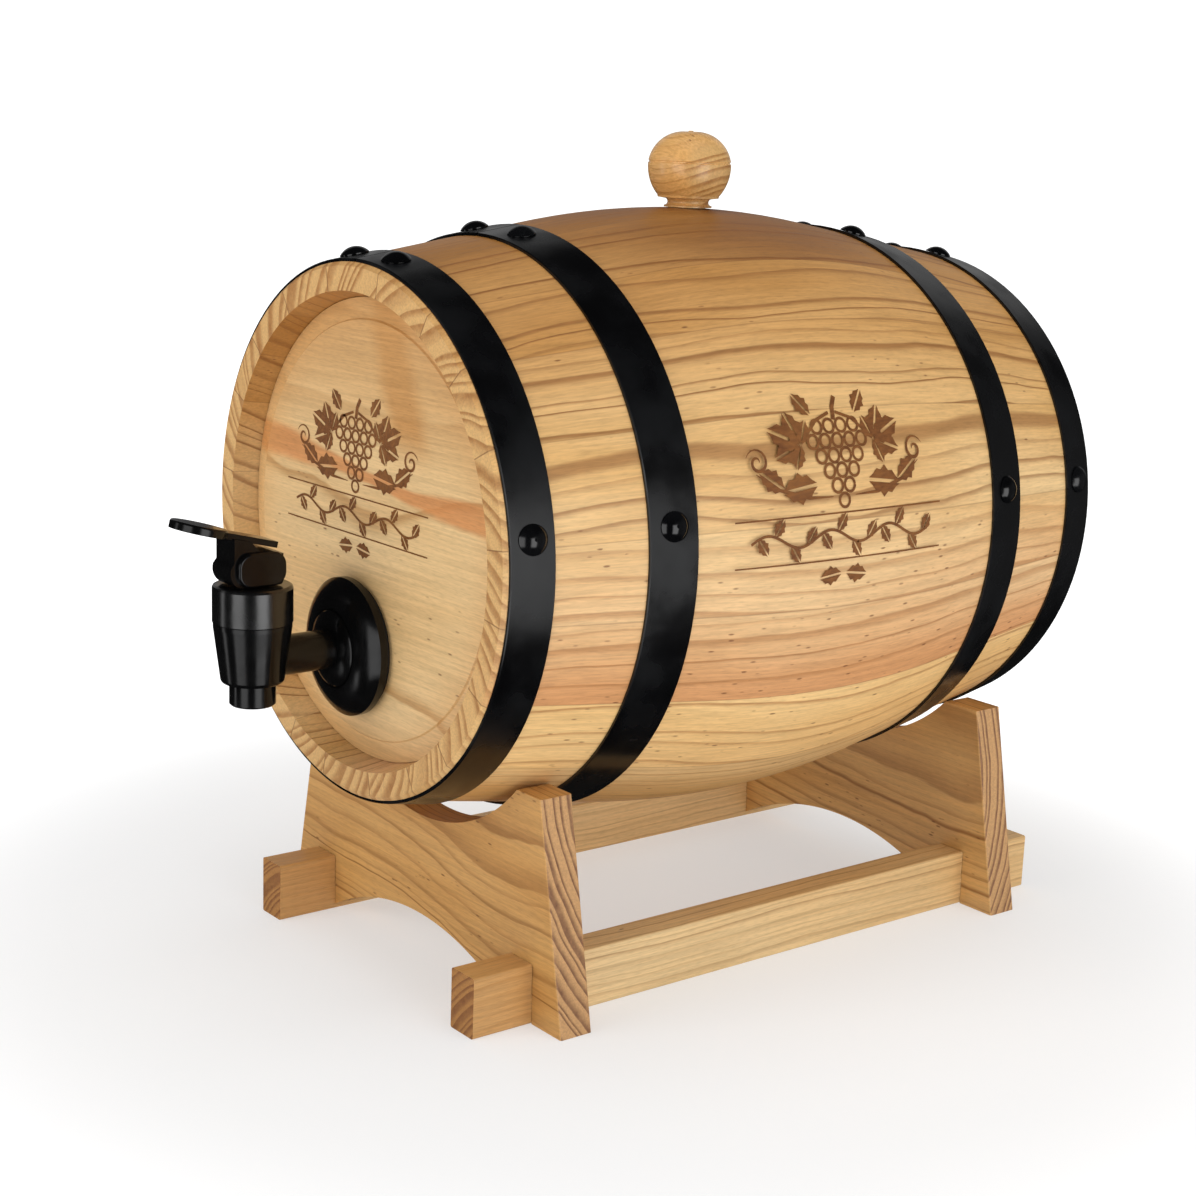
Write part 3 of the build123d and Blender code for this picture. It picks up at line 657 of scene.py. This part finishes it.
def burnt_wood():
    """Wood browned by a laser: uneven, a little deeper along the fibres."""
    shader = new_material("burnt_wood")
    char = shader.noise(shader.place, (900, 260, 900), 6.0, 3.0)
    patch = shader.noise(shader.place, (60, 60, 60), 7.0)
    colour = shader.mix(shader.step(char, 0.3, 0.7), paint("643812"), paint("7E4C1E"))
    colour = shader.mix(shader.step(patch, 0.45, 0.8, 0.0, 0.5), colour, paint("8E5C28"))
    rough = shader.step(char, 0.2, 0.8, 0.55, 0.75)
    return shader.finish(char, 0.0002, 0.8, Base_Color=colour, Roughness=rough)


def make_mark(name, lay, material):
    """One burnt mark, its corners laid on the wood by lay(right, up, lift) in metres."""
    corners, faces = [], []
    for layer, element in enumerate(mark_elements()):
        lift = MARK_LIFT + MARK_LAYER * (layer % MARK_LAYERS)
        for face in element:
            area = sum(p[0] * q[1] - q[0] * p[1] for p, q in zip(face, face[1:] + face[:1]))
            ordered = face if area > 0 else face[::-1]
            faces.append(tuple(range(len(corners), len(corners) + len(ordered))))
            corners += [lay(x / 1000, y / 1000, lift) for x, y in ordered]
    mesh = bpy.data.meshes.new(name)
    mesh.from_pydata(corners, [], faces)
    mesh.materials.append(material)
    mark = bpy.data.objects.new(name, mesh)
    scene.collection.objects.link(mark)
    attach(mark, "barrel")


def make_marks():
    face_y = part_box("front_head")[0].y
    wood = burnt_wood()

    def on_head(right, up, lift):
        x = HEAD_MARK_PLACE[0] + HEAD_MARK_SCALE[0] * right
        return (x, face_y - lift, AXIS.z + HEAD_MARK_PLACE[1] + HEAD_MARK_SCALE[1] * up)

    def on_side(right, up, lift):
        """Round the barrel, and flattened where it would stand out past the CAD's box."""
        along = SIDE_MARK_ALONG + SIDE_MARK_SCALE[0] * right
        turn = SIDE_MARK_TURN - SIDE_MARK_SCALE[1] * up / BILGE_R
        r = shell_r(along) + lift
        return (min(r * sin(turn), cad_box[1].x), AXIS.y + along, AXIS.z + r * cos(turn))

    make_mark("head_mark", on_head, wood)
    make_mark("side_mark", on_side, wood)


# Studio.
FLOOR_HALF = 6.0
FLOOR_DROP = 0.0001
# The floor's painted glow, though it is no lamp: its strength under the stand and further out, where it looks
# white, and where it starts and stops growing, in metres from the middle. The weaker glow under the stand
# paints a darker patch round it.
GLOW = (0.44, 1.0)
GLOW_REACH = (0.20, 0.47)
# The world's strength to the camera, to matt surfaces, and to glossy ones between the panels.
BACKDROP = 1.2
AMBIENT = 0.47
GLOSS_AMBIENT = 0.012
# What glossy surfaces see: azimuth and elevation from +X in degrees, half sizes, softness and strength.
PANELS = (
    (38, -4, 40, 30, 12, 0.09),
    (140, 20, 40, 18, 10, 0.30),
    (0, -8, 16, 24, 5, 3.0),
    (-70, -6, 17, 26, 5, 2.2),
    (-122, -6, 5, 26, 4, 1.5),
)
# Softboxes: place from the barrel's middle, size and power.
SOFTBOXES = {
    "right_softbox": ((1.5, 0.1, 0.25), (1.2, 0.9), 7.2),
    "front_softbox": ((-0.2, -1.6, 0.5), (1.0, 1.0), 8.2),
    "top_softbox": ((0.1, 0.0, 1.6), (1.4, 1.4), 9.0),
}


def make_floor():
    """A pale floor that glows though it is no lamp: weakly round the stand, where this paints a darker patch
    of shade, and strongly further out, so that only a soft shadow shows.
    """
    mesh = bpy.data.meshes.new("studio_floor")
    signs = ((-1, -1), (1, -1), (1, 1), (-1, 1))
    mesh.from_pydata([(x * FLOOR_HALF, y * FLOOR_HALF, -FLOOR_DROP) for x, y in signs], [], [(0, 1, 2, 3)])
    floor = bpy.data.objects.new("studio_floor", mesh)
    scene.collection.objects.link(floor)
    shader = new_material("studio_floor")
    x, y, _ = shader.split(shader.place)
    glow = shader.step(shader.reach(x, y), *GLOW_REACH, *GLOW)
    colour = shader.mix(shader.noise(shader.place, (3, 3, 3), 1.0), paint("C4C5C6"), paint("C7C8C9"))
    mesh.materials.append(shader.finish(Base_Color=colour, Roughness=0.9, Specular_IOR_Level=0.0,
                                        Emission_Color=(1, 1, 1, 1), Emission_Strength=glow))
    floor.visible_glossy = False


def make_world():
    """White behind the object, an even light for matt surfaces, and soft panels for glossy ones."""
    world = bpy.data.worlds.new("studio")
    scene.world = world
    studio = Shader(world)
    x, y, z = studio.split(studio.coordinates["Generated"])
    azimuth = studio.math("DEGREES", studio.math("ARCTAN2", y, x))
    elevation = studio.math("DEGREES", studio.math("ARCSINE", z))
    gloss = GLOSS_AMBIENT
    for turn, lift, wide, high, soft, strength in PANELS:
        sideways = studio.size(studio.minus(azimuth, float(turn)))
        upward = studio.size(studio.minus(elevation, float(lift)))
        width = studio.step(sideways, wide + soft, wide - soft)
        height = studio.step(upward, high + soft, high - soft)
        gloss = studio.add(gloss, studio.times(width, height, strength))
    ray = studio.node("LightPath").outputs
    glossy = ray["Is Glossy Ray"]
    level = studio.add(studio.times(glossy, gloss), studio.times(studio.minus(1.0, glossy), AMBIENT))
    level = studio.math("MAXIMUM", level, studio.times(ray["Is Camera Ray"], BACKDROP))
    background = studio.node("Background", {"Color": (1, 1, 1, 1), "Strength": level})
    studio.node("OutputWorld", {"Surface": background.outputs[0]})


def make_lights():
    """The softboxes, facing the barrel; glossy surfaces don't show them."""
    for name, (place, size, power) in SOFTBOXES.items():
        data = bpy.data.lights.new(name, "AREA")
        data.shape = "RECTANGLE"
        data.size, data.size_y = size
        data.energy = power
        light = bpy.data.objects.new(name, data)
        light.location = AXIS + Vector(place)
        light.rotation_mode = "QUATERNION"
        light.rotation_quaternion = (-Vector(place)).to_track_quat("-Z", "Y")
        light.visible_glossy = False
        scene.collection.objects.link(light)


# The camera: the angles it looks from, its distance from the barrel's middle and its shift sideways and
# up from there, with the lens as a multiple of the sensor's width.
LENS_RATIO = 1.7673
AZIMUTH = radians(51.667)
ELEVATION = radians(12.599)
ROLL = radians(2.112)
DISTANCE = 0.833
SIDESTEP = -0.0234
RISE = -0.0386
SENSOR_WIDTH = 36.0


def make_camera():
    back = Vector((sin(AZIMUTH) * cos(ELEVATION), -cos(AZIMUTH) * cos(ELEVATION), sin(ELEVATION)))
    right = Vector((0, 0, 1)).cross(back).normalized()
    up = back.cross(right)
    data = bpy.data.cameras.new("camera")
    data.sensor_width = SENSOR_WIDTH
    data.lens = LENS_RATIO * SENSOR_WIDTH
    data.clip_start = 0.02
    camera = bpy.data.objects.new("camera", data)
    rolled = (cos(ROLL) * right + sin(ROLL) * up, cos(ROLL) * up - sin(ROLL) * right, back)
    turn = Matrix(rolled).transposed().to_4x4()
    camera.matrix_world = Matrix.Translation(AXIS + DISTANCE * back + SIDESTEP * right + RISE * up) @ turn
    scene.collection.objects.link(camera)
    scene.camera = camera


dress_staves()
dress_heads()
dress_stand()
dress_bung()
dress_metal_and_plastic()
make_marks()
make_floor()
make_world()
make_lights()
make_camera()
scene.view_settings.view_transform = "Standard"
